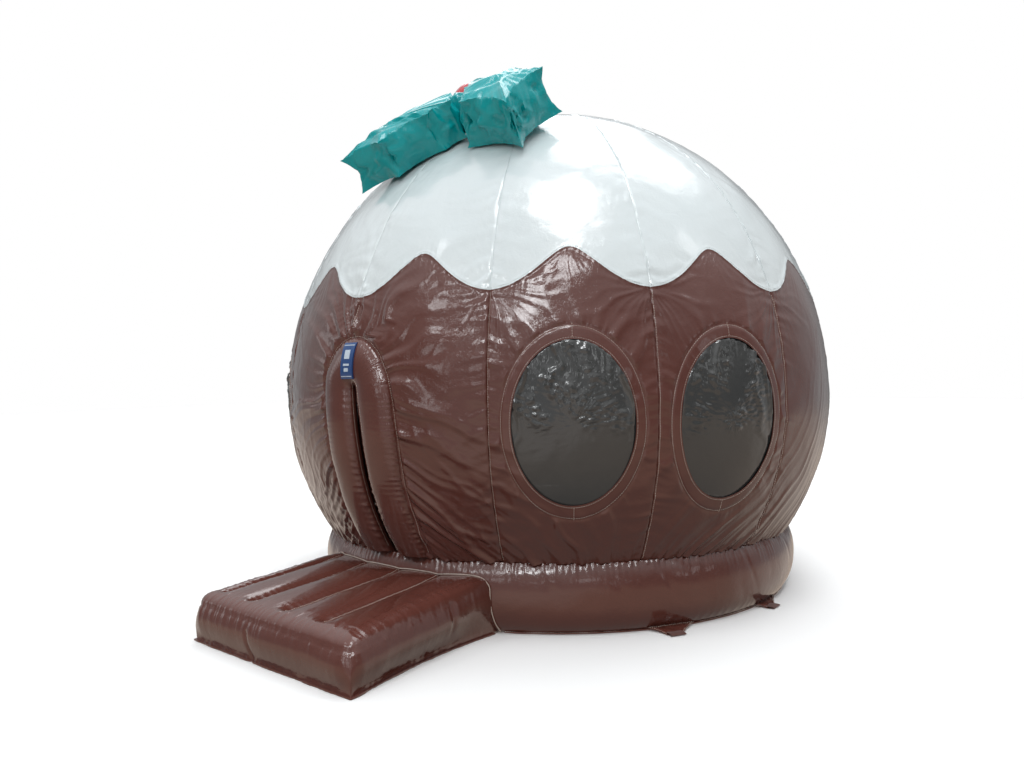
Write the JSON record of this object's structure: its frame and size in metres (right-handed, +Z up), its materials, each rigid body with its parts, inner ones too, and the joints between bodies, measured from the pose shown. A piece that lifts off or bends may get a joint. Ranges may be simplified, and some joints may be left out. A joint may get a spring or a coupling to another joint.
{
  "type": "inflatable play dome shaped as a christmas pudding",
  "caption": "Air-filled play dome shaped as a Christmas pudding, with scalloped icing, oval windows, a padded slit door, an entrance step and a holly sprig on top.",
  "frame": {"origin": "the dome's axis at ground level, at the middle of the bed's flat underside", "axes": "+Z up, -Y from the dome's axis towards the entrance step, +X to the right of someone inside who faces away from the step"},
  "size_m": [4.4836, 5.3381, 4.0977],
  "materials": {
    "brown_pvc": "glossy PVC-coated fabric, pudding brown",
    "icing_pvc": "glossy PVC-coated fabric, cool white",
    "clear_film": "clear smoke-tinted PVC film, lightly creased",
    "leaf_pvc": "glossy PVC-coated fabric, teal green",
    "berry_pvc": "glossy PVC-coated fabric, berry red",
    "patch_vinyl": "sewn vinyl patch, blue with a pale border"
  },
  "bodies": {
    "root": {"anchor_tab_01": "brown_pvc", "anchor_tab_02": "brown_pvc", "anchor_tab_03": "brown_pvc", "anchor_tab_04": "brown_pvc", "anchor_tab_05": "brown_pvc", "anchor_tab_06": "brown_pvc", "bed": "brown_pvc", "crown_disc": "icing_pvc", "door_patch": "patch_vinyl", "door_surround": "brown_pvc", "entrance_step": "brown_pvc", "holly_berry_01": "berry_pvc", "holly_berry_02": "berry_pvc", "holly_berry_03": "berry_pvc", "holly_leaf_left": "leaf_pvc", "holly_leaf_right": "leaf_pvc", "icing_panel_01": "icing_pvc", "icing_panel_02": "icing_pvc", "icing_panel_03": "icing_pvc", "icing_panel_04": "icing_pvc", "icing_panel_05": "icing_pvc", "icing_panel_06": "icing_pvc", "icing_panel_07": "icing_pvc", "icing_panel_08": "icing_pvc", "icing_panel_09": "icing_pvc", "icing_panel_10": "icing_pvc", "icing_panel_11": "icing_pvc", "icing_panel_12": "icing_pvc", "icing_panel_13": "icing_pvc", "skin_panel_01": "brown_pvc", "skin_panel_02": "brown_pvc", "skin_panel_03": "brown_pvc", "skin_panel_04": "brown_pvc", "skin_panel_05": "brown_pvc", "skin_panel_06": "brown_pvc", "skin_panel_07": "brown_pvc", "skin_panel_08": "brown_pvc", "skin_panel_09": "brown_pvc", "skin_panel_10": "brown_pvc", "skin_panel_11": "brown_pvc", "skin_panel_12": "brown_pvc", "skin_panel_13": "brown_pvc", "window_pane_02": "clear_film", "window_pane_03": "clear_film", "window_pane_11": "clear_film", "window_pane_12": "clear_film"}
  },
  "joints": []
}
